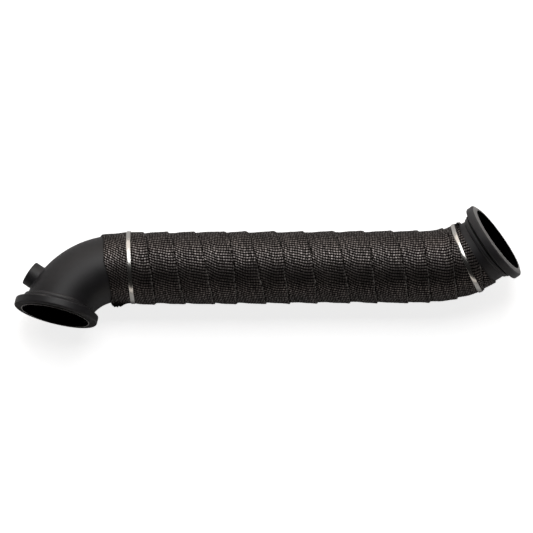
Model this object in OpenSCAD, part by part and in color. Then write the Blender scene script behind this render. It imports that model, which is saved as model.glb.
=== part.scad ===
/* [Tube] */
// Outside diameter of the bent tube
tube_od = 76.2; // [63.5:0.1:90]
// Wall thickness of the tube
tube_wall = 1.65; // [1.2:0.05:2.5]
// Length of the straight run between the two bends
run_length = 350; // [200:1:500]
// Centreline radius of the bend at the inlet
inlet_bend_radius = 76.2; // [72:0.1:110]
// Angle turned by the bend at the inlet
inlet_bend_angle = 74; // [60:1:90]
// Centreline radius of the bend at the outlet
outlet_bend_radius = 114.3; // [90:0.1:150]
// Angle turned by the bend at the outlet
outlet_bend_angle = 38.5; // [25:0.5:60]
// Angle between the planes of the two bends, seen along the run
bend_clock = 140; // [90:1:180]
/* [Flanges] */
// Height of the clamp rim on both flanges above the tube
rim_rise = 10.15; // [8:0.05:16]
// Length of the straight outer wall of each rim
rim_land = 6; // [4:0.1:9]
// Depth of the rounded or sloping front edge of each rim
rim_nose = 1.8; // [1:0.1:3]
// Slope of the clamp groove behind each rim, from the flange plane
groove_angle = 29; // [15:1:35]
// Height of the hub behind the groove above the tube
hub_height = 2.1; // [1.5:0.1:3]
// Extra tip of the inlet flange past square to the tube
inlet_cant = 2; // [0:0.5:3]
// Height of the centring lip on the inlet flange above the tube
lip_rise = 1.7; // [1.5:0.1:2.5]
// Height of the centring lip above the flange face
lip_height = 1; // [0.5:0.1:2.5]
// Radial wall of the centring lip
lip_wall = 1.2; // [0.8:0.1:1.4]
// Play between the lip and the socket of the next flange
lip_play = 0.2; // [0.1:0.05:0.5]
// Depth of the open mouth in front of the tube end
mouth_depth = 4.5; // [3:0.1:6]
// Distance from a flange face back to the tube end
tube_setback = 6; // [5.5:0.1:8]
/* [Sensor boss] */
// Outside diameter of the sensor boss
boss_od = 28.6; // [24:0.1:32]
// Height of the boss above the outside of the bend
boss_height = 10.3; // [6:0.1:15]
// Bore of the boss before its thread is cut
boss_bore = 16.4; // [12:0.1:18]
// Place of the boss round the inlet bend, from the run
boss_angle = 55; // [46:1:56]
// Size of the weld bead round the boss
boss_bead = 2; // [1:0.1:3]
/* [Heat wrap] */
// Width of the wrapped tape
tape_width = 47; // [42:0.5:52]
// Thickness of the wrapped tape
tape_thickness = 1.6; // [1.2:0.1:2.2]
// Advance of the tape at each turn
tape_pitch = 31.4; // [28:0.1:38]
// Length of tube left bare at the inlet, along its centreline
inlet_bare = 80.4; // [70:0.1:100]
// Length of tube left bare at the outlet, along its centreline
outlet_bare = 28; // [24:0.5:40]
// Distance from the wrap's inlet edge to the last seam
last_seam = 43.7; // [40:0.1:46]
/* [Ties] */
// Width of the steel tie bands
tie_width = 4.6; // [4:0.1:8]
// Thickness of the steel tie bands
tie_thickness = 0.35; // [0.25:0.05:0.5]
// Distance of the inlet tie from the wrap's inlet edge
inlet_tie_at = 31.5; // [26:0.5:40]
// Tilt of the inlet tie out of square to the run
inlet_tie_tilt = 5; // [0:0.5:6]
// Distance of the outlet tie from the wrap's outlet edge
outlet_tie_at = 14; // [8:0.5:25]
// Length of each tie lock
lock_length = 9.6; // [8:0.1:12]
// Height of each tie lock
lock_height = 4.6; // [4:0.1:6]
// Diameter of the locking ball
ball_d = 2.4; // [1.8:0.1:2.6]

/* [Hidden] */
$fn = 72;

tube_r = tube_od / 2;
bore_r = tube_r - tube_wall;
rim_r = tube_r + rim_rise;
hub_r = tube_r + hub_height;
lip_r = tube_r + lip_rise;
inlet_mouth_r = lip_r - lip_wall;
outlet_mouth_r = lip_r + lip_play;
arc_deg = 180 / PI;

// Turn from the inlet bend's outward side to the outlet bend's centre side
outlet_turn = 180 - bend_clock;

// The rims, back from the flange face: front edge, straight land, back edge, groove
back_round = 1.3;
land_end = lip_height + rim_nose + rim_land;
groove_top = land_end + back_round;
groove_end = groove_top + (rim_r - back_round - hub_r) * tan(groove_angle);
// The outlet flange ends in a ridged neck, which the tube butts against
ridge = 1.4;
outlet_neck = groove_end + ridge;
// Radius inside the tube's own section, where a piece is cut to fit round it
seat_r = tube_r - 4;
weld_length = 3.6;
overrun = 6;

// Centreline distances, counted from the start of the run towards the outlet
inlet_arc = inlet_bend_radius * inlet_bend_angle / arc_deg;
outlet_arc = outlet_bend_radius * outlet_bend_angle / arc_deg;
wrap_start = inlet_bare - inlet_arc;
wrap_end = run_length + outlet_arc + outlet_neck - outlet_bare;
inlet_centre = [-inlet_bend_radius * sin(inlet_bend_angle),
    -inlet_bend_radius * (1 - cos(inlet_bend_angle)), 0];
// Angle of the inlet flange's plane, counted round the bend from the run
inlet_face_angle = inlet_bend_angle + inlet_cant;

// The tape is a helix of flat chords, so it clears the tube by this much at its corners
chords = 24;
chord_step = 360 / chords;
wrap_clearance = 0.12;
layer_gap = 0.15;
wrap_r = tube_r / cos(chord_step / 2) + wrap_clearance;
layer = tape_thickness + layer_gap;
wrap_outer_r = wrap_r + layer + tape_thickness;
rise = 3;
edge_step = 0.4;
seam_zero = wrap_start + last_seam;
// The tape runs from its first end near the outlet to its last end near the inlet
first_reach = 2;
tape_first = chord_step * round((wrap_end - first_reach - seam_zero + tape_width) / tape_pitch * chords);
tape_last = -2 * chord_step;

// The ties
tie_play = 0.2;
tie_gap = 0.05;
tie_step = 7.5;
lock_phi = 225;
tie_tail = 15;
inlet_tie_s = wrap_start + inlet_tie_at;
outlet_tie_s = wrap_end - outlet_tie_at;
inlet_tie_low = 64;
lock_wall = 0.9;
lock_roof = 0.7;
low_roof = 2 * tie_thickness + 0.45;
// The band bends away under its locking ball
ball_sink = 0.07;

function clamp01(x) = min(1, max(0, x));

// The pipe rests on its wrap and on the edge of the inlet rim, at this roll
function rim_reach(a) = (inlet_centre[1] + land_end * sin(inlet_face_angle)) * sin(a)
    + rim_r * sqrt(1 - pow(sin(inlet_face_angle) * sin(a), 2));
function find_roll(low, high, n) = let (mid = (low + high) / 2)
    n == 0 ? mid
    : rim_reach(mid) > wrap_outer_r ? find_roll(mid, high, n - 1) : find_roll(low, mid, n - 1);
roll_limit = 40;
roll_halvings = 24;
rest_roll = find_roll(0, roll_limit, roll_halvings);

// A point on the pipe: s along the centreline, phi round it, r out from it
function tube_point(s, phi, r) = s < 0
    ? let (a = -s / inlet_bend_radius * arc_deg, h = inlet_bend_radius + r * cos(phi))
        [-h * sin(a), h * cos(a) - inlet_bend_radius, r * sin(phi)]
    : s < run_length ? [s, r * cos(phi), r * sin(phi)]
    : let (a = (s - run_length) / outlet_bend_radius * arc_deg,
        h = outlet_bend_radius - r * cos(phi - outlet_turn),
        x = run_length + h * sin(a),
        d = outlet_bend_radius - h * cos(a),
        p = r * sin(phi - outlet_turn))
        [x, d * cos(outlet_turn) - p * sin(outlet_turn), d * sin(outlet_turn) + p * cos(outlet_turn)];

// Tape keeps its own width on both sides of a bend, so it closes up inside and spreads outside
function lay(s, phi) = s < 0 ? s / (1 + wrap_r / inlet_bend_radius * cos(phi))
    : s > run_length ? run_length + (s - run_length) / (1 - wrap_r / outlet_bend_radius * cos(phi - outlet_turn))
    : s;
function unlay(s, phi) = s < 0 ? s * (1 + wrap_r / inlet_bend_radius * cos(phi))
    : s > run_length ? run_length + (s - run_length) * (1 - wrap_r / outlet_bend_radius * cos(phi - outlet_turn))
    : s;

// Left and right edges of the tape at a winding angle
function right_edge(w) = seam_zero + tape_pitch * w / 360;
function left_edge(w) = right_edge(w) - tape_width;
// How far the turn at winding angle w lifts what lies over it at s, from 0 to 1
function lift(w, s) = s > right_edge(w) || w < tape_last ? 0
    : clamp01((s - left_edge(w)) / rise + 1) * clamp01((tape_first - w) / chord_step + 1);

// One cross-section of the tape: under face out, upper face back
function tape_stops(w) = let (l = left_edge(w), flat = tape_pitch - rise)
    [l, l + flat / 3, l + flat * 2 / 3, l + flat, l + tape_pitch, l + (tape_pitch + tape_width) / 2, l + tape_width];
function tape_ring(w) = let (
    stops = tape_stops(w),
    last = len(stops) - 1,
    at = [for (i = [0:last]) max(wrap_start + i * edge_step,
        min(lay(stops[i], w), wrap_end - (last - i) * edge_step))],
    h = [for (s = stops) wrap_r + layer * lift(w + 360, s)])
    concat([for (i = [0:last]) tube_point(at[i], w, h[i])],
        [for (i = [last:-1:0]) tube_point(at[i], w, h[i] + tape_thickness)]);

// Faces of a strip swept through rings of n points, closed at both ends
function strip_faces(rings, n) = concat(
    [for (i = [0:rings - 2]) for (j = [0:n - 1]) let (k = (j + 1) % n) [i * n + j, (i + 1) * n + k, i * n + k]],
    [for (i = [0:rings - 2]) for (j = [0:n - 1]) let (k = (j + 1) % n) [i * n + j, (i + 1) * n + j, (i + 1) * n + k]],
    [for (j = [0:n / 2 - 2]) [j, j + 1, n - 2 - j]],
    [for (j = [0:n / 2 - 2]) [j, n - 2 - j, n - 1 - j]],
    [for (j = [0:n / 2 - 2]) let (b = (rings - 1) * n) [b + j, b + n - 2 - j, b + j + 1]],
    [for (j = [0:n / 2 - 2]) let (b = (rings - 1) * n) [b + j, b + n - 1 - j, b + n - 2 - j]]);

// Radius of the wrap's outside at a place on the pipe
function wrap_top(s, phi) = let (u = unlay(s, phi))
    wrap_r + layer * (sum_lift(phi, u) - 1) + tape_thickness;
function sum_lift(phi, u) = let (
    near = floor((u - seam_zero) / tape_pitch - phi / 360),
    hits = [for (k = [near - 1:near + 4]) let (w = phi + 360 * k) tie_lift(w, u)])
    max(1, hits[0] + hits[1] + hits[2] + hits[3] + hits[4] + hits[5]);
function tie_lift(w, s) = s > right_edge(w) ? 0
    : clamp01((s - left_edge(w)) / rise + 1) * clamp01((tape_first - w) / chord_step + 1)
        * clamp01((w - tape_last) / chord_step + 1);

// Radius of a tie's inside, and how far its plane leans along the pipe
function lean(phi, tilt) = -wrap_outer_r * tan(tilt) * cos(phi - inlet_tie_low);
function tie_over(s, phi, tilt, steps) = tie_play
    + max([for (e = [-1:0.5:1]) for (k = [-steps:steps]) let (t = phi + k * tie_step)
        wrap_top(s + lean(t, tilt) + e * tie_width / 2, t)]);
// The band lies level right through its lock
function tie_r(s, phi, tilt) = abs((phi - lock_phi + 180) % 360 - 180) < 2.5 * tie_step
    ? tie_over(s, lock_phi, tilt, 3) : tie_over(s, phi, tilt, 1);
function tie_ring(s, phi, tilt) = let (
    over = clamp01((phi - lock_phi - 360 + 3 * tie_step) / (2 * tie_step)) * (tie_thickness + tie_gap),
    r = tie_r(s, phi, tilt) + over, e = tie_width / 2, x = lean(phi, tilt), c = cos(phi), q = sin(phi),
    o = r + tie_thickness)
    [[x - e, r * c, r * q], [x + e, r * c, r * q], [x + e, o * c, o * q], [x - e, o * c, o * q]];

// The pipe as it lies, with the centre of the inlet face at the origin
module in_row() {
    rotate([-rest_roll, 0, 0]) translate(-inlet_centre) children();
}
// Outward side of the inlet bend, at an angle round it from the run
module on_inlet_bend(a) {
    translate([0, -inlet_bend_radius, 0]) rotate([0, 0, 90 + a]) translate([inlet_bend_radius, 0, 0]) children();
}
module at_inlet() {
    translate(inlet_centre) rotate([0, 0, inlet_face_angle + 180]) rotate([0, 90, 0]) children();
}
// Along the outlet bend, at an angle round it from the run
module on_outlet_bend(a) {
    translate([run_length, 0, 0]) rotate([outlet_turn, 0, 0])
        translate([0, outlet_bend_radius, 0]) rotate([0, 0, a]) translate([0, -outlet_bend_radius, 0]) children();
}
module at_outlet() {
    on_outlet_bend(outlet_bend_angle) translate([outlet_neck, 0, 0]) rotate([0, 90, 0]) children();
}

// Solid along the inlet bend, and along the outlet bend
module inlet_path(r, a) {
    translate([0, -inlet_bend_radius, 0]) rotate([0, 0, 90])
        rotate_extrude(angle = a) translate([inlet_bend_radius, 0]) circle(r = r);
}
module outlet_path(r, a) {
    translate([run_length, 0, 0]) rotate([outlet_turn, 0, 0]) translate([0, outlet_bend_radius, 0])
        rotate([0, 0, -90]) rotate_extrude(angle = a) translate([outlet_bend_radius, 0]) circle(r = r);
}

// A quarter round between two directions, as points of a profile
function round_points(c, r, from, to) = [for (i = [0:4]) let (a = from + (to - from) * i / 4)
    [c[0] + r * cos(a), c[1] + r * sin(a)]];
// Back of a rim, from its land to the hub, as radius and height
function rim_back() = concat(
    round_points([rim_r - back_round, -land_end], back_round, 0, -90 + groove_angle),
    [[hub_r, -groove_end], [seat_r, -groove_end]]);

module boss_axis() {
    on_inlet_bend(boss_angle) rotate([0, 90, 0]) children();
}

// Stock bends of two radii, butt-welded to a straight length and dressed flush under the wrap
module inlet_elbow() {
    in_row() color("#2c2b2d") difference() {
        inlet_path(tube_r, inlet_bend_angle);
        inlet_path(bore_r, inlet_bend_angle + overrun);
        at_inlet() translate([0, 0, -tube_setback]) cylinder(r = rim_r, h = tube_od);
        boss_axis() translate([0, 0, bore_r / 2]) cylinder(d = boss_bore + 1, h = tube_od / 2);
    }
}

module straight_tube() {
    in_row() color("#2c2b2d") rotate([0, 90, 0]) difference() {
        cylinder(r = tube_r, h = run_length);
        translate([0, 0, -1]) cylinder(r = bore_r, h = run_length + 2);
    }
}

module outlet_elbow() {
    in_row() color("#2c2b2d") translate([run_length, 0, 0]) rotate([outlet_turn, 0, 0])
        translate([0, outlet_bend_radius, 0]) rotate([0, 0, -90])
        rotate_extrude(angle = outlet_bend_angle) translate([outlet_bend_radius, 0]) difference() {
            circle(r = tube_r);
            circle(r = bore_r);
        }
}

module inlet_flange() {
    profile = concat(
        [[seat_r, -mouth_depth], [inlet_mouth_r, -mouth_depth], [inlet_mouth_r, 0], [lip_r, 0], [lip_r, -lip_height]],
        round_points([rim_r - rim_nose, -lip_height - rim_nose], rim_nose, 90, 0),
        rim_back());
    in_row() color("#29282a") difference() {
        at_inlet() rotate_extrude() polygon(profile);
        inlet_path(tube_r, inlet_bend_angle + overrun);
    }
}

module outlet_flange() {
    face_r = rim_r - 3 * rim_nose;
    profile = concat(
        [[bore_r, -mouth_depth], [outlet_mouth_r, -mouth_depth], [outlet_mouth_r, 0], [face_r, 0]],
        [[rim_r - rim_nose / 2, -lip_height - rim_nose / 2], [rim_r, -lip_height - rim_nose]],
        round_points([rim_r - back_round, -land_end], back_round, 0, -90 + groove_angle / 2),
        [[hub_r, -groove_end + ridge], [hub_r + ridge, -groove_end + ridge / 2]],
        [[hub_r + ridge, -groove_end - ridge / 2], [hub_r, -outlet_neck], [bore_r, -outlet_neck]]);
    in_row() color("#29282a") at_outlet() rotate_extrude() polygon(profile);
}

// A weld bead laid in the corner between a hub's end and the tube
module bead(z) {
    rotate_extrude() polygon(concat(
        [[seat_r, z], [hub_r, z]],
        [for (a = [15:15:75]) [tube_r + (hub_r - tube_r) * cos(a), z - weld_length * sin(a)]],
        [[tube_r, z - weld_length], [seat_r, z - weld_length]]));
}

// The tipped bead runs thin inside the bend, so its circles are finer
module inlet_weld() {
    $fn = 96;
    in_row() color("#353335") difference() {
        at_inlet() bead(-groove_end);
        inlet_path(tube_r, inlet_bend_angle + overrun);
    }
}

module outlet_weld() {
    in_row() color("#353335") difference() {
        at_outlet() bead(-outlet_neck);
        outlet_path(tube_r, outlet_bend_angle + overrun);
    }
}

module sensor_boss() {
    top = tube_r + boss_height;
    edge = 0.8;
    in_row() color("#2c2b2d") difference() {
        boss_axis() union() {
            translate([0, 0, seat_r - 8]) cylinder(d = boss_od, h = top - edge - seat_r + 8);
            translate([0, 0, top - edge]) cylinder(d1 = boss_od, d2 = boss_od - 2 * edge, h = edge);
        }
        inlet_path(tube_r, inlet_bend_angle);
        boss_axis() cylinder(d = boss_bore, h = top + 1);
    }
}

module boss_weld() {
    in_row() color("#353335") difference() {
        union() {
            intersection() {
                boss_axis() cylinder(d = boss_od + 2 * boss_bead, h = tube_r + boss_height);
                inlet_path(tube_r + boss_bead / 2, inlet_bend_angle);
            }
            intersection() {
                boss_axis() cylinder(d = boss_od + boss_bead, h = tube_r + boss_height);
                inlet_path(tube_r + boss_bead, inlet_bend_angle);
            }
        }
        inlet_path(tube_r, inlet_bend_angle + overrun);
        boss_axis() cylinder(d = boss_od, h = tube_r + boss_height);
    }
}

module heat_wrap() {
    rings = [for (w = [tape_last:chord_step:tape_first]) tape_ring(w)];
    in_row() color("#37332f")
        polyhedron([for (ring = rings) each ring], strip_faces(len(rings), len(rings[0])), convexity = 10);
}

// A tie in its own frame: X along the pipe, its loop in the plane across it
module tie_band(s, tilt) {
    rings = [for (a = [lock_phi - tie_step:tie_step:lock_phi + 360 + tie_tail]) tie_ring(s, a, tilt)];
    polyhedron([for (ring = rings) each ring], strip_faces(len(rings), 4), convexity = 6);
}
// Where a lock sits: X along the pipe, Y out of it, square to the band and on its inside
module at_lock(s, tilt) {
    slant = atan(tan(tilt) * sin(lock_phi - inlet_tie_low));
    translate([lean(lock_phi, tilt), 0, 0]) rotate([lock_phi, 0, 0])
        translate([0, tie_r(s, lock_phi, tilt), 0]) rotate([0, slant, 0]) children();
}
module tie_lock(s, tilt) {
    half = lock_length / 2;
    corner = 1.1;
    tunnel = tie_width + 2 * tie_gap;
    at_lock(s, tilt) rotate([0, -90, 0]) difference() {
        translate([0, 0, -tunnel / 2 - lock_wall]) linear_extrude(tunnel + 2 * lock_wall)
            polygon([[-half, 0], [half, 0], [half, lock_height - corner], [half - corner, lock_height],
                [corner - half, lock_height], [-half, lock_height - corner]]);
        translate([0, 0, -tunnel / 2]) linear_extrude(tunnel)
            polygon([[-half - 1, -1], [half + 1, -1], [half + 1, low_roof], [half / 2, low_roof],
                [-half / 2, lock_height - lock_roof], [-half - 1, lock_height - lock_roof]]);
    }
}
module tie_ball(s, tilt) {
    wedge = atan((lock_height - lock_roof - low_roof) / (lock_length / 2));
    height = 2 * tie_thickness + tie_gap - ball_sink + ball_d / 2;
    along = (lock_height - lock_roof - height - ball_d / 2 / cos(wedge)) / tan(wedge) - lock_length / 4;
    at_lock(s, tilt) translate([0, height, along]) sphere(d = ball_d);
}
module on_run_tie() {
    in_row() translate([inlet_tie_s, 0, 0]) children();
}
module on_bend_tie() {
    a = (outlet_tie_s - run_length) / outlet_bend_radius * arc_deg;
    in_row() on_outlet_bend(a) rotate([-outlet_turn, 0, 0]) children();
}

module inlet_tie_band() { on_run_tie() color("#c9c4bb") tie_band(inlet_tie_s, inlet_tie_tilt); }
module inlet_tie_lock() { on_run_tie() color("#c9c4bb") tie_lock(inlet_tie_s, inlet_tie_tilt); }
module inlet_tie_ball() { on_run_tie() color("#b9b5ad") tie_ball(inlet_tie_s, inlet_tie_tilt); }
module outlet_tie_band() { on_bend_tie() color("#c9c4bb") tie_band(outlet_tie_s, 0); }
module outlet_tie_lock() { on_bend_tie() color("#c9c4bb") tie_lock(outlet_tie_s, 0); }
module outlet_tie_ball() { on_bend_tie() color("#b9b5ad") tie_ball(outlet_tie_s, 0); }

inlet_elbow();
straight_tube();
outlet_elbow();
inlet_flange();
outlet_flange();
inlet_weld();
outlet_weld();
sensor_boss();
boss_weld();
heat_wrap();
inlet_tie_band();
inlet_tie_lock();
inlet_tie_ball();
outlet_tie_band();
outlet_tie_lock();
outlet_tie_ball();
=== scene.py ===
"""Looks of the turbo downpipe: coat, welds, woven wrap, steel ties, and the photograph's view."""

import math

import bmesh
import bpy
import numpy as np
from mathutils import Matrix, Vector


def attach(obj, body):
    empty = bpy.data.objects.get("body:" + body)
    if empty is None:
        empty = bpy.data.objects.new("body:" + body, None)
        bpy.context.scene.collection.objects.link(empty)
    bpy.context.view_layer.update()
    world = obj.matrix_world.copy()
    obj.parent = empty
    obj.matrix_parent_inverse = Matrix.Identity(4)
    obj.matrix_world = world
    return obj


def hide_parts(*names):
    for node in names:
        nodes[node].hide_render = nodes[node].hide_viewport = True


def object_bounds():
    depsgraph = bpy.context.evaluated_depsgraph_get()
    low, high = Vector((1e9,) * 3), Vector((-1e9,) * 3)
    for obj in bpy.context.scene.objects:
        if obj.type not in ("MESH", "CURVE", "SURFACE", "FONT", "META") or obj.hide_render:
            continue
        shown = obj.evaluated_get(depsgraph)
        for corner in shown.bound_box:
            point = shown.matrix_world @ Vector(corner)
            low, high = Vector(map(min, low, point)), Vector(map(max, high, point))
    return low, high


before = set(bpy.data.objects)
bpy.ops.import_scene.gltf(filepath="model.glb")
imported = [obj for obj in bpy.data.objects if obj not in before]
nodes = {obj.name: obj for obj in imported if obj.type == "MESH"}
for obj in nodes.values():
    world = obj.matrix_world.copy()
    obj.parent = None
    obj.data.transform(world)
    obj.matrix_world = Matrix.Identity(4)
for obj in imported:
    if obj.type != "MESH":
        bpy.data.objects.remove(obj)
cad_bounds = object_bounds()
MM = 0.001

# The pipe's own sizes, as in the solids, in millimetres and degrees
INLET_R = 76.2
INLET_DEG = 74.0
OUTLET_R = 114.3
OUTLET_DEG = 38.5
RUN = 350.0
# Turn from the inlet bend's plane to the outlet bend's, and the roll in which the pipe rests
TURN = 40.0
ROLL = 7.36004
TUBE_R = 38.1
# The flanges: their hub, how far the inlet's is tipped, and how far the groove and the outlet's neck go back
HUB_R = 40.2
CANT = 2.0
GROOVE_END = 13.8416
NECK = 15.2416
# The sensor boss, at this angle round the inlet's bend
BOSS_DEG = 55.0
BOSS_R = 14.3
BOSS_TOP = TUBE_R + 10.3
THREAD_R = 8.2
THREAD_DEEP = 0.8
THREAD_PITCH = 1.5
# Places along the centreline, counted from the start of the run towards the outlet
INLET_END_S = -INLET_R * math.radians(INLET_DEG)
OUTLET_END_S = RUN + OUTLET_R * math.radians(OUTLET_DEG)
BOSS_S = -INLET_R * math.radians(BOSS_DEG)

# The wrap as in the solids: the tape's winding angle grows from its last end, near the inlet, to its first
WRAP_R = 38.5488
LAYER = 1.75
TAPE_T = 1.6
TAPE_W = 47.0
PITCH = 31.4
SEAM_ZERO = 25.6844
WRAP_START = -18.0156
WRAP_END = 414.046
TAPE_FIRST = 4965.0
TAPE_LAST = -30.0
WRAP_OUTER_R = WRAP_R + LAYER + TAPE_T

# The ties as in the solids
TIE_W = 4.6
TIE_T = 0.35
TIE_STEP = 7.5
TIE_PLAY = 0.2
TIE_GAP = 0.05
TIE_TAIL = 15.0
LOCK_PHI = 225.0
# The side on which a tilted tie leans towards the inlet
INLET_LOW = 64.0
# Each tie's place along the centreline and its tilt
INLET_TIE = (WRAP_START + 31.5, 5.0)
OUTLET_TIE = (WRAP_END - 14.0, 0.0)


def turned(x, y, z, degrees=TURN):
    """Points turned about the run's axis, by default from the inlet bend's plane to the outlet bend's."""
    c, s = math.cos(math.radians(degrees)), math.sin(math.radians(degrees))
    return np.stack([x, y * c - z * s, y * s + z * c], -1)


def tube_point(s, phi, r):
    """Run-frame points at s along the centreline, phi degrees round it and r out from it."""
    s, phi, r = np.broadcast_arrays(*(np.asarray(v, float) for v in (s, phi, r)))
    p = np.radians(phi)
    run = np.stack([s, r * np.cos(p), r * np.sin(p)], -1)
    a = -s / INLET_R
    h = INLET_R + r * np.cos(p)
    inlet = np.stack([-h * np.sin(a), h * np.cos(a) - INLET_R, r * np.sin(p)], -1)
    b = (s - RUN) / OUTLET_R
    p = p - math.radians(TURN)
    h = OUTLET_R - r * np.cos(p)
    outlet = turned(RUN + h * np.sin(b), OUTLET_R - h * np.cos(b), r * np.sin(p))
    return np.where((s < 0)[..., None], inlet, np.where((s > RUN)[..., None], outlet, run))


INLET_CENTRE = tube_point([INLET_END_S], 0, 0)[0]


def to_row(p):
    """Points in the run's own frame, in mm, as points of the row, in metres."""
    x, y, z = np.moveaxis(np.asarray(p, float) - INLET_CENTRE, -1, 0)
    return turned(x, y, z, -ROLL) * MM


def place_at(s, degrees, turn=0.0, ahead=0.0):
    """A place near s on the centreline: its centre, its axis in a bend's plane, and two directions across."""
    a = math.radians(degrees)
    n = turned(math.cos(a), math.sin(a), 0, turn)
    side = turned(-math.sin(a), math.cos(a), 0, turn)
    return tube_point([s], 0, 0)[0] + n * ahead, n, side, np.cross(n, side)


def in_place(place, r, z, angle):
    """Points r out from a place's axis, z along it and angle degrees round it."""
    centre, n, side, up = place
    a = np.radians(angle)
    return centre + z[..., None] * n + (r * np.cos(a))[..., None] * side + (r * np.sin(a))[..., None] * up


INLET_PLACE = place_at(INLET_END_S, INLET_DEG + CANT + 180)
OUTLET_PLACE = place_at(OUTLET_END_S, OUTLET_DEG, TURN, NECK)
BOSS_PLACE = place_at(BOSS_S, BOSS_DEG + 90)


def spread(s, phi):
    """How much longer the tape's side is than the centreline, on each bend."""
    p = np.radians(phi)
    inlet = 1 + WRAP_R / INLET_R * np.cos(p)
    outlet = 1 - WRAP_R / OUTLET_R * np.cos(p - math.radians(TURN))
    return np.where(s < 0, inlet, np.where(s > RUN, outlet, 1.0))


def lay(s, phi):
    """Place along the centreline of a place along the tape's own side."""
    k = spread(s, phi)
    return np.where(s > RUN, RUN + (s - RUN) / k, s / k)


def unlay(s, phi):
    """Place along the tape's own side of a place along the centreline."""
    k = spread(s, phi)
    return np.where(s > RUN, RUN + (s - RUN) * k, s * k)


# Materials


def feed(tree, socket, value):
    """Links an input to another node's socket, or sets it to a fixed value."""
    if isinstance(value, bpy.types.NodeSocket):
        tree.links.new(value, socket)
    else:
        socket.default_value = value


def node(tree, kind, **values):
    """A shader node with its settings made and its inputs fed."""
    n = tree.nodes.new(kind)
    for key, value in values.items():
        if key in n.inputs:
            feed(tree, n.inputs[key], value)
        else:
            setattr(n, key, value)
    return n


def material(name):
    """A new material with its node tree and its shader."""
    m = bpy.data.materials.new(name)
    m.use_nodes = True
    return m, m.node_tree, m.node_tree.nodes["Principled BSDF"]


def dress(tree, shader, values):
    """Feeds a shader's inputs by name."""
    for key, value in values.items():
        feed(tree, shader.inputs[key], value)


def calc(tree, operation, *terms):
    """A step of arithmetic between sockets or fixed values."""
    n = node(tree, "ShaderNodeMath", operation=operation)
    for socket, value in zip(n.inputs, terms):
        feed(tree, socket, value)
    return n.outputs[0]


def vector(tree, operation, *terms):
    """A vector step between sockets or fixed values."""
    n = node(tree, "ShaderNodeVectorMath", operation=operation)
    for socket, value in zip(n.inputs, terms):
        feed(tree, socket, value)
    return n.outputs["Value" if operation in ("LENGTH", "DOT_PRODUCT") else "Vector"]


def scaled(tree, value, low, high, start=0.0, end=1.0):
    """From low to high while a socket goes from start to end."""
    limits = {"From Min": start, "From Max": end, "To Min": low, "To Max": high}
    return node(tree, "ShaderNodeMapRange", Value=value, **limits).outputs["Result"]


def mixed(tree, factor, before, after, blend_type="MIX"):
    """One colour passing to another by a factor."""
    n = node(tree, "ShaderNodeMix", data_type="RGBA", blend_type=blend_type,
             Factor=factor, A=before, B=after)
    return n.outputs["Result"]


def ramp(tree, factor, stops):
    """Colours at given places between 0 and 1."""
    n = node(tree, "ShaderNodeValToRGB", Fac=factor)
    points = n.color_ramp.elements
    while len(points) < len(stops):
        points.new(0.5)
    for point, (at, colour) in zip(points, stops):
        point.position = at
        point.color = (*colour, 1)
    return n.outputs["Color"]


def noise(tree, at, scale, detail, rough=0.5):
    """Fine unevenness from 0 to 1."""
    n = node(tree, "ShaderNodeTexNoise", Vector=at, Scale=scale, Detail=detail, Roughness=rough)
    return n.outputs["Fac"]


def relief(tree, height, strength, distance):
    """A surface direction with relief too fine for the mesh."""
    return node(tree, "ShaderNodeBump", Strength=strength, Distance=distance,
                Height=height).outputs["Normal"]


def within(tree, socket, low, high):
    """1 where a length in mm lies between two limits."""
    return calc(tree, "COMPARE", socket, (low + high) / 2 * MM, (high - low) / 2 * MM)


def zone_mask(tree, at, axis_of, radii, depths):
    """1 in a zone round an axis of the row, or round a bend's ring, between two radii and two depths."""
    centre, axis, ring = axis_of
    d = vector(tree, "SUBTRACT", at, centre)
    off = vector(tree, "LENGTH", vector(tree, "CROSS_PRODUCT", d, axis))
    deep = vector(tree, "DOT_PRODUCT", d, axis)
    if ring:
        past = calc(tree, "SUBTRACT", off, ring * MM)
        off = vector(tree, "LENGTH", node(tree, "ShaderNodeCombineXYZ", X=past, Y=deep).outputs["Vector"])
    mask = within(tree, off, *radii)
    if depths:
        mask = calc(tree, "MULTIPLY", mask, within(tree, deep, *depths))
    return mask


WORN = (0.12, 0.115, 0.115, 1)
COAT_SPECULAR = 0.48


def coat_material(name, base, rough, grain, wear, zones=()):
    """Satin high-temperature coat: fine orange peel, slow colour drift, pale worn edges, and zones of painted
    shade and painted highlight, such as the near-black bores.
    """
    m, tree, shader = material(name)
    at = node(tree, "ShaderNodeTexCoord").outputs["Object"]
    drift = noise(tree, at, 28.0, 4.0, 0.6)
    peel = noise(tree, at, 2600.0, 2.0)
    low, high = (tuple(c * share for c in base) for share in (0.78, 1.25))
    tone = ramp(tree, drift, [(0.35, low), (0.65, high)])
    edge = node(tree, "ShaderNodeNewGeometry").outputs["Pointiness"]
    worn = calc(tree, "MULTIPLY", scaled(tree, edge, 0.0, 1.0, 0.53, 0.62), wear)
    colour = mixed(tree, worn, tone, WORN)
    gloss = scaled(tree, drift, rough - 0.05, rough + 0.07)
    metal = 0.0
    for axis_of, radii, depths, paint, matt, bare in zones:
        mask = zone_mask(tree, at, axis_of, radii, depths)
        colour = mixed(tree, mask, colour, (*paint, 1))
        gloss = scaled(tree, mask, gloss, matt)
        metal = scaled(tree, mask, metal, bare)
    dress(tree, shader, {"Base Color": colour, "Roughness": gloss, "Metallic": metal,
                         "Specular IOR Level": COAT_SPECULAR, "Normal": relief(tree, peel, grain, 0.0002)})
    return m


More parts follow.
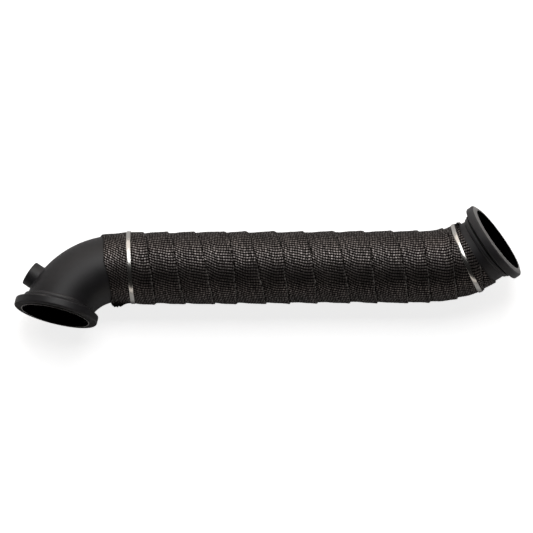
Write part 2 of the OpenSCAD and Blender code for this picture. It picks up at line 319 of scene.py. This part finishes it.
def steel_material():
    """Bright stainless strip: fine lines along the pipe's round, slightly uneven gloss."""
    m, tree, shader = material("tie_steel_look")
    at = node(tree, "ShaderNodeTexCoord").outputs["Object"]
    stretched = node(tree, "ShaderNodeMapping", Vector=at, Scale=(4000, 60, 60)).outputs["Vector"]
    lines = noise(tree, stretched, 1.0, 3.0)
    tone = ramp(tree, lines, [(0.3, (0.60, 0.585, 0.56)), (0.7, (0.74, 0.72, 0.69))])
    dress(tree, shader, {"Base Color": tone, "Roughness": scaled(tree, lines, 0.17, 0.30),
                         "Metallic": 1.0, "Normal": relief(tree, lines, 0.12, 0.0001)})
    return m


def wrap_material():
    """Woven mineral fibre: valleys painted near black as shade between the yarns, dull brown-grey glossy
    crests, pale loose fibres at the seams.
    """
    m, tree, shader = material("wrap_look")
    crown_and_shade = node(tree, "ShaderNodeAttribute", attribute_name="crown_and_shade").outputs["Fac"]
    fray = node(tree, "ShaderNodeAttribute", attribute_name="fray").outputs["Fac"]
    at = node(tree, "ShaderNodeTexCoord").outputs["Object"]
    fibre = noise(tree, at, 1500.0, 3.0, 0.7)
    patch = noise(tree, at, 70.0, 3.0)
    # Low crowns and valleys are painted near black as shade
    tone = ramp(tree, calc(tree, "MULTIPLY_ADD", fibre, 0.24, crown_and_shade),
                [(0.14, (0.0012, 0.0011, 0.0011)), (0.55, (0.026, 0.0225, 0.0213)),
                 (1.0, (0.188, 0.174, 0.171))])
    dusty = mixed(tree, fray, tone, (0.26, 0.25, 0.243, 1))
    shade = ramp(tree, patch, [(0.3, (0.6, 0.58, 0.57)), (0.7, (1.3, 1.25, 1.22))])
    dress(tree, shader, {"Base Color": mixed(tree, 0.7, dusty, shade, "MULTIPLY"),
                         "Roughness": scaled(tree, crown_and_shade, 0.95, 0.28, 0.25, 0.95),
                         "Metallic": scaled(tree, fray, 0.93, 0.0),
                         "Specular IOR Level": 0.2, "Normal": relief(tree, fibre, 0.35, 0.0002)})
    return m


def axis_in_row(centre, axis, ring=0):
    """An axis or a bend's ring, given in the run's frame, for the materials."""
    start = to_row(centre)
    return tuple(start), tuple((to_row(centre + axis) - start) / MM), ring


INLET_RING = axis_in_row(np.array([0, -INLET_R, 0]), np.array([0, 0, 1]), INLET_R)
RUN_AXIS = axis_in_row(np.zeros(3), np.array([1, 0, 0]))
OUTLET_RING = axis_in_row(turned(RUN, OUTLET_R, 0), turned(0, 0, 1), OUTLET_R)
INLET_AXIS = axis_in_row(*INLET_PLACE[:2])
OUTLET_AXIS = axis_in_row(*OUTLET_PLACE[:2])

COAT_TONE = (0.0140, 0.0131, 0.0148)
RIM_TONE = (0.0158, 0.0149, 0.0167)
WELD_TONE = (0.0165, 0.0156, 0.0174)
INLET_FACE_SHADE_TONE = (0.0035, 0.0033, 0.0036)
LIP_HIGHLIGHT_TONE = (0.30, 0.29, 0.285)
OUTLET_FACE_HIGHLIGHT_TONE = (0.200, 0.195, 0.191)
# Roughness, strength of the peel, and how far the edges are worn
COAT_FINISH = (0.50, 0.10, 0.4)
RIM_FINISH = (0.44, 0.08, 0.6)
WELD_FINISH = (0.46, 0.12, 0.5)
# A zone has an axis, radii and depths in mm, a tone, a roughness and a share of bare metal
# Painted shade in the bores: near black and fully metallic, so that they reflect almost nothing
BORE_PAINTED_SHADE = ((0.0010, 0.0009, 0.0009), 0.95, 1.0)
BORE = (0, 36.6)
COAT = coat_material("coat_look", COAT_TONE, *COAT_FINISH)
INLET_COAT = coat_material("inlet_tube_look", COAT_TONE, *COAT_FINISH, zones=[
    (INLET_RING, BORE, None, *BORE_PAINTED_SHADE),
    (INLET_AXIS, (0, 38.3), (-6.3, 0.5), *BORE_PAINTED_SHADE)])
RUN_COAT = coat_material("run_tube_look", COAT_TONE, *COAT_FINISH, zones=[
    (RUN_AXIS, BORE, None, *BORE_PAINTED_SHADE)])
OUTLET_COAT = coat_material("outlet_tube_look", COAT_TONE, *COAT_FINISH, zones=[
    (OUTLET_RING, BORE, None, *BORE_PAINTED_SHADE)])
# The inlet's face carries a near-black ring of painted shade, and inside it stands the lip with a pale
# painted highlight on its edge
INLET_RIM = coat_material("inlet_rim_look", RIM_TONE, *RIM_FINISH, zones=[
    (INLET_AXIS, (39.7, 47.5), (-1.9, 0.2), INLET_FACE_SHADE_TONE, 0.7, 0.0),
    (INLET_AXIS, (0, 38.7), None, *BORE_PAINTED_SHADE),
    (INLET_AXIS, (38.65, 39.95), (-0.35, 0.2), LIP_HIGHLIGHT_TONE, 0.35, 0.5)])
# The outlet's face is painted pale round its bore, as a painted highlight
OUTLET_RIM = coat_material("outlet_rim_look", RIM_TONE, *RIM_FINISH, zones=[
    (OUTLET_AXIS, (0, 40.1), None, *BORE_PAINTED_SHADE),
    (OUTLET_AXIS, (40.1, 47.0), (-1.4, 0.3), OUTLET_FACE_HIGHLIGHT_TONE, 0.4, 0.0)])
WELD_COAT = coat_material("weld_look", WELD_TONE, *WELD_FINISH)
STEEL = steel_material()
WRAP = wrap_material()


# Meshes


def mesh_object(name, points, faces, look):
    """A piece of the object, made from run-frame points and riding on its only body."""
    me = bpy.data.meshes.new(name)
    me.from_pydata(to_row(points).reshape(-1, 3).tolist(), [], faces.tolist())
    me.materials.append(look)
    me.polygons.foreach_set("use_smooth", [True] * len(me.polygons))
    me.update()
    o = bpy.data.objects.new(name, me)
    bpy.context.scene.collection.objects.link(o)
    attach(o, "root")
    return o


def grid_faces(rows, cols, close_rows=False, close_cols=False, flip=False):
    """Quads of a rows x cols sheet of points, closed round either way if asked."""
    i = np.arange(rows if close_rows else rows - 1)
    j = np.arange(cols if close_cols else cols - 1)
    a, b = np.meshgrid(i, j, indexing="ij")
    a, b = a.ravel(), b.ravel()
    an, bn = (a + 1) % rows, (b + 1) % cols
    f = np.stack([a * cols + b, a * cols + bn, an * cols + bn, an * cols + b], 1)
    return f[:, ::-1] if flip else f


def weld(o):
    """Joins the points that a cut has brought to one place."""
    bm = bmesh.new()
    bm.from_mesh(o.data)
    bmesh.ops.remove_doubles(bm, verts=bm.verts, dist=1e-6)
    loose = [v for v in bm.verts if not v.link_faces]
    bmesh.ops.delete(bm, geom=loose, context="VERTS")
    bm.to_mesh(o.data)
    bm.free()


def ease(t):
    """From 0 to 1, level at both ends."""
    t = np.clip(t, 0, 1)
    return t * t * (3 - 2 * t)


def smooth_interp(x, xs, ys):
    """Steps between the given values with a level start and end to each."""
    xs, ys = np.asarray(xs, float), np.asarray(ys, float)
    i = np.clip(np.searchsorted(xs, x) - 1, 0, len(xs) - 2)
    return ys[i] + (ys[i + 1] - ys[i]) * ease((x - xs[i]) / (xs[i + 1] - xs[i]))


def hump(x, width):
    """1 in the middle, falling off on both sides."""
    return np.exp(-(x / width) ** 2)


def turn_gap(a, b):
    """Shortest way from angle b to angle a, in degrees."""
    return (a - b + 180) % 360 - 180


# Heat wrap: one woven strip, wound on in turns, shown as lengths of about two turns each

PIECES = 7
COLS = 66
SPAN = (TAPE_FIRST - TAPE_LAST) / PIECES
# About one row of points to this many degrees
ROW_DEG = 0.81
ROWS = round(SPAN / ROW_DEG)
# Way round one turn, at the wrap's mean radius
MEAN_R = 40.0
TURN_LENGTH = math.hypot(2 * math.pi * MEAN_R, PITCH)
# How far each seam strays from an even helix, by the tape's winding angle
SEAM_AT = (-30, 43, 403, 527, 763, 887, 1123, 1483, 1607, 1843, 1967, 2203, 2327, 2563, 2687, 2923,
           3283, 3407, 3643, 4003, 4965)
SEAM_OFF = (0, 0, -3.0, 0.75, -3.0, 3.1, 0.3, -7.2, -0.85, -5.9, -4.85, -5.0, -4.2, -2.2, 1.75, 0.6,
            2.5, 6.5, 0.2, -0.7, 0)
# How far the last turn's left edge is pulled back square to the pipe
EDGE_AT = (-30, 31, 88, 130, 177, 250, 330)
EDGE_OFF = (0, -0.3, -3.7, -1.5, -3.3, -2.0, 0)
# How far the cut at the outlet end strays from square
CUT_AT = (0, 50, 97, 150, 185, 270, 360)
CUT_OFF = (-2.5, -3.6, -0.6, 0.4, 1.0, 0, -2.5)
# The yarns' pitches across and along the tape, and how far the rows lean
ACROSS = 3.0
ALONG = 3.3
LEAN = 0.26
# What a layer of cloth adds when pulled tight, and the way over which it climbs
CLOTH_LAYER = 1.4
RISE = 14.0
# The same in the solids, with the winding angle over which the tape's two ends thin out
CAD_RISE = 3.0
END_FADE = 15.0
# Places round the pipe: the gathered fold inside the inlet bend, the notch in the cut beside it,
# the curled corner behind the outlet's tie, and the side on which the seams are frayed
FOLD_PHI = 187
NOTCH_PHI = 177
CURL_PHI = 37
FRAYED_PHI = 135
# Least height over the tube of the cloth's outside and of its turned-down edges
TOP_CLEAR = 0.35
SKIRT_CLEAR = 0.05
# The tape's edges thin out over this width, where the cloth is lower and its upper side lifts a little
EDGE_WIDTH = 1.2
EDGE_DROP = 0.45
EDGE_LIFT = 0.35
# How deep a tie sinks in, and how steeply the cloth swells from this far beside it
TIE_SINK = 0.12
SWELL = 0.75
SWELL_FROM = 0.3


def right_edge(w):
    """Place of the tape's right edge along its own side at winding angle w."""
    a = np.radians(w)
    wobble = 0.4 * np.sin(a * 2.7 + 1.3) + 0.35 * np.sin(a * 7.1)
    wobble = wobble + 0.25 * np.sin(a * 16.3 + 2 * np.sin(a * 3.1))
    return SEAM_ZERO + PITCH * w / 360 + smooth_interp(w, SEAM_AT, SEAM_OFF) + wobble


def left_edge(w):
    """Place of the tape's left edge along its own side at winding angle w."""
    return right_edge(w) - TAPE_W + smooth_interp(w, EDGE_AT, EDGE_OFF)


def lifted(w, s):
    """Share of a full layer by which turn w, lying below, raises what is over it at s."""
    over = (s <= right_edge(w)) & (w >= TAPE_LAST)
    past = s - left_edge(w)
    up = 0.8 * ease(past / RISE + 1) + 0.2 * np.clip(past / (TAPE_W - PITCH), 0, 1)
    return np.where(over, up * np.clip((TAPE_FIRST - w) / END_FADE + 1, 0, 1), 0.0)


def gathered(s, phi):
    """Where the tape is bunched up inside the inlet bend, from 0 to 1."""
    return hump(turn_gap(phi, FOLD_PHI), 10) * np.exp(-((s + 6) / 12.5) ** 4)


def curled(s, phi):
    """Where the tape's corner curls up behind the outlet's tie, from 0 to 1."""
    return hump(turn_gap(phi, CURL_PHI), 9) * hump(s - 412, 7)


def ground(s, phi):
    """Slow unevenness of the wrap, in mm: folds, the gathered end, the curled corner."""
    u = unlay(s, phi)
    p = np.radians(phi)
    folds = 0.20 * np.sin(u / 9.0 + 3 * p) * np.sin(u / 23.0 - 2 * p) + 0.14 * np.sin(u / 5.3 - p * 5 + 0.7)
    ridges = 1 + 0.25 * np.cos(turn_gap(phi, FOLD_PHI) * 0.6) + 0.15 * np.sin(s * 0.8)
    return folds + 3.3 * gathered(s, phi) * ridges + 4.6 * curled(s, phi)


def weave(u, v):
    """Height of a sheared plain weave at u along the tape and v across it, and how near a crown that is; the
    wrap's colour makes the low parts into painted shade.
    """
    row = (u + 0.0107 * np.minimum(v + 4, 0) ** 2 + 0.4 * np.sin(v * 0.31 + u * 0.02)) / ALONG
    col = (v + LEAN * u + 0.35 * np.sin(u * 0.17)) / ACROSS
    i, j = np.round(col), np.round(row)
    dv, du = np.abs(col - i) * 2, np.abs(row - j) * 2
    worn = 0.84 + 0.16 * np.sin(i * 12.9898 + j * 78.233) * np.sin(i * 3.7 - j * 1.9)
    h = 0.06 * np.cos(math.pi * row) * np.cos(math.pi * col) - 0.34 * du ** 2 - 0.20 * dv ** 3
    return h, np.clip(1.25 - 1.75 * du ** 2, 0, 1) * np.clip(1.15 - 1.0 * dv ** 3, 0, 1) * worn


def fringe(w):
    """Pulls of single threads along a tape edge, in mm."""
    t = w * 0.7 / ALONG
    k = np.floor(t)
    near = np.sin(k * 91.7) * np.sin(k * 37.3 + 1)
    after = np.sin((k + 1) * 91.7) * np.sin((k + 1) * 37.3 + 1)
    return 0.55 * (near + (after - near) * (t - k))


def edge_limit(phi):
    """The wrap's two cut ends along the centreline, which aren't quite square to the pipe."""
    p = phi % 360
    low = WRAP_START + 0.5 * np.sin(np.radians(p * 3)) - 4.5 * hump(turn_gap(p, NOTCH_PHI), 10)
    return low, WRAP_END + smooth_interp(p, CUT_AT, CUT_OFF)


def wrap_top(s, phi):
    """Outside radius of the wrap as the solids have it."""
    u = unlay(s, phi)
    near = np.floor((u - SEAM_ZERO) / PITCH - phi / 360)
    total = np.zeros_like(u)
    for k in range(-1, 5):
        w = phi + 360 * (near + k)
        seam = SEAM_ZERO + PITCH * w / 360
        up = np.clip((u - seam + TAPE_W) / CAD_RISE + 1, 0, 1)
        ends = np.clip((TAPE_FIRST - w) / END_FADE + 1, 0, 1) * np.clip((w - TAPE_LAST) / END_FADE + 1, 0, 1)
        total += np.where(u > seam, 0, up * ends)
    return WRAP_R + LAYER * (np.maximum(total, 1) - 1) + TAPE_T


def tie_lean(phi, tilt):
    """How far along the pipe a tie's plane leans at phi."""
    return -WRAP_OUTER_R * math.tan(math.radians(tilt)) * np.cos(np.radians(phi - INLET_LOW))


def tie_radius(s, phi, tilt):
    """The band's inside, as in the solids: over the highest of the wrap under it, level through its lock."""
    def over(at, steps):
        places = [wrap_top(s + tie_lean(at + t, tilt) + e * TIE_W / 2, at + t)
                  for e in (-1, -0.5, 0, 0.5, 1) for t in np.arange(-steps, steps + 1) * TIE_STEP]
        return np.max(places, axis=0)
    level = over(np.full_like(phi, LOCK_PHI), 3)
    return np.where(np.abs(turn_gap(phi, LOCK_PHI)) < 2.5 * TIE_STEP, level, over(phi, 1)) + TIE_PLAY


def strip_radius(tie, phi):
    """The same, evened out as a strip that bridges from high spot to high spot."""
    s, tilt = tie
    return np.mean([tie_radius(np.full_like(phi, s), phi + t, tilt) for t in range(-15, 16, 3)], axis=0)


def press(tie, s, phi):
    """The most the wrap can stand out near a tie: it is squeezed under the band and swells beside it."""
    at = np.arange(0.0, 361.0, 3.0)
    r = np.interp(phi % 360, at, strip_radius(tie, at))
    off = np.abs(s - tie[0] - tie_lean(phi, tie[1])) * spread(s, phi)
    return r - TIE_SINK + SWELL * np.maximum(off - TIE_W / 2 - SWELL_FROM, 0)


def cloth_top(w, s, su, left, right, h):
    """Radius of the cloth's outside: lifted by the turn below, thin at its edges, pressed by the ties."""
    thin = np.clip(np.minimum(su - left, right - su) / EDGE_WIDTH, 0, 1)
    phi = w + 0 * s
    top = WRAP_R + TAPE_T + CLOTH_LAYER * lifted(w + 360, su) + ground(s, phi)
    top = top + EDGE_LIFT * hump(right - su - 1.5, 3.0) + h * (0.55 + 0.45 * thin)
    top = top - EDGE_DROP * (1 - thin) ** 2
    for tie in (INLET_TIE, OUTLET_TIE):
        top = np.minimum(top, press(tie, s, phi))
    return np.maximum(top, TUBE_R + TOP_CLEAR)


def cloth_tones(w, s, su, right, crown_and_shade):
    """How bright the crowns stay, with painted shade beside the seams, in the fold and in the curl, and how
    frayed the cloth is, both from 0 to 1.
    """
    phi = w + 0 * s
    low_side = turn_gap(phi, FRAYED_PHI)
    low_side = 0.25 + 0.75 * ease((low_side + 45) / 40) * ease((75 - low_side) / 40)
    rag = 0.55 + 0.45 * np.sin(w * 0.83 + 2 * np.sin(w * 0.21))
    fray = hump(right - su - 0.2, 0.9) * rag * low_side
    # Painted shade in the corner beside the seam of the turn on top, in the fold and in the curl
    beside = su - right_edge(w - 360)
    crown_and_shade = crown_and_shade * (1 - 0.8 * rag * hump(beside - 0.3, 0.9) * (w - 360 > TAPE_LAST))
    crown_and_shade = crown_and_shade * (1 - 0.9 * np.clip(gathered(s, phi) * 1.6, 0, 1)) * (1 - 0.8 * curled(s, phi))
    return {"crown_and_shade": crown_and_shade, "fray": fray}


def build_wrap_piece(k):
    """One length of the strip, woven in relief, with its thickness turned down at its edges."""
    start = TAPE_LAST + (TAPE_FIRST - TAPE_LAST) * k / PIECES
    w = np.linspace(start, start + SPAN, ROWS + 1)[:, None]
    left, right = left_edge(w), right_edge(w) + fringe(w)
    su = left + (right - left) * np.linspace(0, 1, COLS)[None, :]
    whole = lay(su, w)
    # What runs past the wrap's two ends is cut off
    phi = w + 0 * whole
    s = np.clip(whole, *edge_limit(phi))
    su = np.where(s == whole, su, unlay(s, phi))
    kept = np.abs(np.diff(s, axis=1)).sum() / np.abs(np.diff(whole, axis=1)).sum()
    h, crown_and_shade = weave(w / 360 * TURN_LENGTH, su - right)
    top = cloth_top(w, s, su, left, right, h)
    # Turned-down skirts: one more row on each side
    low = np.maximum(top - TAPE_T * 0.9, TUBE_R + SKIRT_CLEAR)
    wide = [0, *range(COLS), COLS - 1]
    s_wide, r_wide = s[:, wide], top[:, wide]
    r_wide[:, 0], r_wide[:, -1] = low[:, 0], low[:, -1]
    # Faces past a cut end have no width
    faces = grid_faces(ROWS + 1, COLS + 2)
    solid = np.abs(np.diff(s_wide, axis=1)) > 1e-6
    solid[:, 0] = solid[:, -1] = solid.any(axis=1)
    row, col = faces[:, 0] // (COLS + 2), faces[:, 0] % (COLS + 2)
    faces = faces[solid[row, col] | solid[np.minimum(row + 1, ROWS), col]]
    o = mesh_object(f"wrap_turns_{k + 1}", tube_point(s_wide, w, r_wide), faces, WRAP)
    for key, values in cloth_tones(w, s, su, right, crown_and_shade).items():
        values = values[:, wide]
        # The left skirt keeps a third of each: painted shade on its crowns, and fewer loose fibres
        values[:, 0] *= 0.3
        layer = o.data.attributes.new(key, "FLOAT", "POINT")
        layer.data.foreach_set("value", np.ascontiguousarray(values, np.float32).ravel())
    if kept < 1:
        weld(o)
    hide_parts("heat_wrap")


for k in range(PIECES):
    build_wrap_piece(k)


# Steel ties: smooth bands in place of the solids' short flats


def on_pipe(s, x, y, z):
    """Points in a tie's own frame, X along the pipe, set at s on the run or on the outlet's bend."""
    if s < RUN:
        return np.stack([s + x, y, z], -1)
    b = (s - RUN) / OUTLET_R
    x, y, z = np.moveaxis(turned(x, y, z, -TURN), -1, 0)
    out = OUTLET_R - y
    return turned(RUN + math.sin(b) * out + math.cos(b) * x,
                  OUTLET_R - math.cos(b) * out + math.sin(b) * x, z)


def build_tie(name, tie, replaced):
    """A thin strip laid once round the wrap, its last part over its first, with rounded outer edges."""
    s, tilt = tie
    phi = np.arange(LOCK_PHI - TIE_STEP, LOCK_PHI + 360 + TIE_TAIL + 0.01, 1.5)
    r = strip_radius(tie, phi)
    # The last part rises over the first
    r = r + np.clip((phi - LOCK_PHI - 360 + 3 * TIE_STEP) / (2 * TIE_STEP), 0, 1) * (TIE_T + TIE_GAP)
    half = TIE_W / 2
    # The strip's section, as places across it and heights over its inside
    across = np.array([-half, -half + 0.08, half - 0.08, half, half,
                       half - 0.16, 0, -half + 0.16, -half])
    up = np.array([0.06, 0, 0, 0.06, TIE_T - 0.1, TIE_T, TIE_T + 0.04, TIE_T, TIE_T - 0.1])
    x = tie_lean(phi, tilt)[:, None] + across
    rr = r[:, None] + up
    p = np.radians(phi)[:, None]
    points = on_pipe(s, x, rr * np.cos(p), rr * np.sin(p))
    o = mesh_object(name, points, grid_faces(*x.shape, close_cols=True), STEEL)
    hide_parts(replaced)


build_tie("inlet_tie_strip", INLET_TIE, "inlet_tie_band")
build_tie("outlet_tie_strip", OUTLET_TIE, "outlet_tie_band")


# Weld beads laid in ripples, and the sensor boss

BEAD_LONG = 3.6
BEAD_SUNK = 0.4
BOSS_BEAD = 2.0


def ripple(angle, count, skew, across):
    """A run of overlapping scallops, like a hand-laid bead."""
    x = (angle / 360 * count + skew * across) % 1
    return np.sqrt(np.clip(1 - (1.7 * (x - 0.55)) ** 2, 0, 1))


def build_bead(name, place, back, replaced, count):
    """A bead round the tube at a flange's hub, from the hub's end down to the tube."""
    angle = np.arange(0, 360, 1.0)[:, None]
    t = np.linspace(-8, 98, 10)[None, :]
    a = np.radians(t)
    wobble = 0.15 * np.sin(np.radians(angle * 5 + 40)) + 0.1 * np.sin(np.radians(angle * 13))
    bulge = 0.28 * (ripple(angle, count, 0.3, np.sin(a) ** 2) - 0.5)
    r = TUBE_R - BEAD_SUNK + (HUB_R - TUBE_R + BEAD_SUNK) * np.cos(a) + bulge * 0.8
    r = np.where(t > 90, TUBE_R - 1.0, r)
    z = -back - (BEAD_LONG + wobble) * np.sin(a) - bulge * 0.6
    o = mesh_object(name, in_place(place, r, z, angle), grid_faces(*r.shape, close_rows=True, flip=True),
                    WELD_COAT)
    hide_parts(replaced)


def build_boss():
    """The turned boss with its thread cut in: outside wall, broken edges, flat face, helical thread."""
    angle = np.arange(0, 360, 3.0)[:, None]
    outside = np.array([
        (BOSS_R, TUBE_R - 4.5), (BOSS_R, BOSS_TOP - 0.9), (BOSS_R - 0.12, BOSS_TOP - 0.45),
        (BOSS_R - 0.5, BOSS_TOP - 0.08), (BOSS_R - 0.95, BOSS_TOP), (THREAD_R + 1.5, BOSS_TOP),
        (THREAD_R + 1.35, BOSS_TOP - 0.03), (THREAD_R + 0.75, BOSS_TOP - 0.65)])
    depth = np.arange(0.75, BOSS_TOP - TUBE_R + 1.2, THREAD_PITCH / 8)
    turn = (depth / THREAD_PITCH + angle / 360) % 1
    thread = THREAD_R + THREAD_DEEP * np.clip(1.15 - np.abs(turn * 2 - 1) * 1.3, 0, 1)
    r = np.concatenate([outside[:, 0] + 0 * angle, thread], 1)
    z = np.concatenate([outside[:, 1] + 0 * angle, BOSS_TOP - depth + 0 * angle], 1)
    o = mesh_object("sensor_boss_threaded", in_place(BOSS_PLACE, r, z, angle),
                    grid_faces(*r.shape, close_rows=True), COAT)
    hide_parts("sensor_boss")


def build_boss_bead():
    """The rippled bead round the boss, following the curve of the tube."""
    angle = np.arange(0, 360, 1.5)[:, None]
    t = np.linspace(-10, 100, 9)[None, :]
    bulge = 0.24 * (ripple(angle, 34, 0.3, t / 90) - 0.5)
    r = BOSS_R - 0.3 + (BOSS_BEAD + 0.1 + bulge) * (1 - np.cos(np.radians(np.clip(t, 0, 100))))
    high = (BOSS_BEAD + bulge) * (1 - np.sin(np.radians(t)))
    x, y = r * np.cos(np.radians(angle)), r * np.sin(np.radians(angle))
    across = np.sqrt(TUBE_R ** 2 - y ** 2)
    tube_z = np.sqrt((INLET_R + across) ** 2 - x ** 2) - INLET_R
    z = tube_z + high - 0.15 - np.where(t > 90, 0.8, 0)
    o = mesh_object("boss_weld_bead", in_place(BOSS_PLACE, r, z, angle),
                    grid_faces(*r.shape, close_rows=True), WELD_COAT)
    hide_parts("boss_weld")


build_bead("inlet_weld_bead", INLET_PLACE, GROOVE_END, "inlet_weld", 78)
build_bead("outlet_weld_bead", OUTLET_PLACE, NECK, "outlet_weld", 84)
build_boss()
build_boss_bead()

LOOKS = {
    "inlet_elbow": INLET_COAT, "straight_tube": RUN_COAT, "outlet_elbow": OUTLET_COAT,
    "inlet_flange": INLET_RIM, "outlet_flange": OUTLET_RIM,
    "inlet_tie_lock": STEEL, "inlet_tie_ball": STEEL, "outlet_tie_lock": STEEL, "outlet_tie_ball": STEEL,
}
for name, look in LOOKS.items():
    nodes[name].data.materials.clear()
    nodes[name].data.materials.append(look)


# Floor, light and camera, in metres

MID_X, MID_Y = 0.24, 0.05
FLOOR_SIZE = 8
FLOOR_Z = min(v[2] for v in cad_bounds) - 0.0004
# The floor's own brightness for the camera, near and far, and the distances between which it grows
FLOOR_LIFT = (0.80, 1.0)
FLOOR_REACH = (0.6, 1.5)
WHITE = (1.0, 1.0, 1.0)
WARM = (1.0, 0.93, 0.87)
# Strength of the white world for all rays but the camera's
CEILING = 0.012
# Fitted to the photograph's outline: a long lens, almost straight down
CAMERA_AT = (0.02638959, -0.35885128, 3.39568727)
CAMERA_TURN = (6.982793, -3.528529, -0.746904)
LENS = 202.63
SENSOR = 36
scene = bpy.context.scene


def build_floor():
    """A pale floor that runs into the white of the background where the lights give out."""
    bpy.ops.mesh.primitive_plane_add(size=FLOOR_SIZE, location=(MID_X, MID_Y, FLOOR_Z))
    floor = bpy.context.object
    floor.name = "floor"
    look, tree, shader = material("floor_look")
    far = vector(tree, "LENGTH", node(tree, "ShaderNodeTexCoord").outputs["Object"])
    seen = node(tree, "ShaderNodeLightPath").outputs["Is Camera Ray"]
    lift = calc(tree, "MULTIPLY", seen, scaled(tree, far, *FLOOR_LIFT, *FLOOR_REACH))
    dress(tree, shader, {"Base Color": (0.86, 0.86, 0.86, 1), "Roughness": 0.9, "Specular IOR Level": 0.1,
                         "Emission Color": (*WHITE, 1), "Emission Strength": lift})
    floor.data.materials.append(look)


def build_world():
    """White where the camera sees it, and nearly black as a ceiling over the pipe."""
    scene.world = bpy.data.worlds.new("studio")
    scene.world.use_nodes = True
    tree = scene.world.node_tree
    seen = node(tree, "ShaderNodeLightPath").outputs["Is Camera Ray"]
    dress(tree, tree.nodes["Background"], {"Color": (1, 0.98, 0.96, 1),
                                           "Strength": scaled(tree, seen, CEILING, 1.0)})


def soft_box(name, at, aim_height, size, glow, colour=WHITE):
    """A rectangular softbox of a given brightness, aimed over the middle of the pipe."""
    data = bpy.data.lights.new(name, "AREA")
    data.shape = "RECTANGLE"
    data.size, data.size_y = size
    data.energy = glow * math.pi * size[0] * size[1]
    data.color = colour
    o = bpy.data.objects.new(name, data)
    scene.collection.objects.link(o)
    o.location = at
    aim = Vector((MID_X, MID_Y, aim_height))
    o.rotation_euler = (aim - Vector(at)).to_track_quat("-Z", "Y").to_euler()


def build_camera():
    """The photograph's view."""
    camera = bpy.data.objects.new("photo_camera", bpy.data.cameras.new("photo_camera"))
    scene.collection.objects.link(camera)
    camera.location = CAMERA_AT
    camera.rotation_euler = [math.radians(a) for a in CAMERA_TURN]
    camera.data.lens = LENS
    camera.data.sensor_width = SENSOR
    camera.data.clip_end = 20
    scene.camera = camera


build_floor()
build_world()
soft_box("key", at=(MID_X, 0.90, 1.36), aim_height=0.0, size=(1.35, 1.05), glow=3.2)
soft_box("back_wall", at=(MID_X, 2.2, 0.85), aim_height=0.2, size=(4.4, 1.6), glow=1.2, colour=WARM)
soft_box("front_wall", at=(MID_X, -2.1, 0.30), aim_height=0.1, size=(4.4, 0.55), glow=0.9, colour=WARM)
soft_box("left_wall", at=(-2.0, 0.1, 0.6), aim_height=0.0, size=(2.0, 1.1), glow=0.32)
build_camera()
scene.view_settings.view_transform = "Standard"
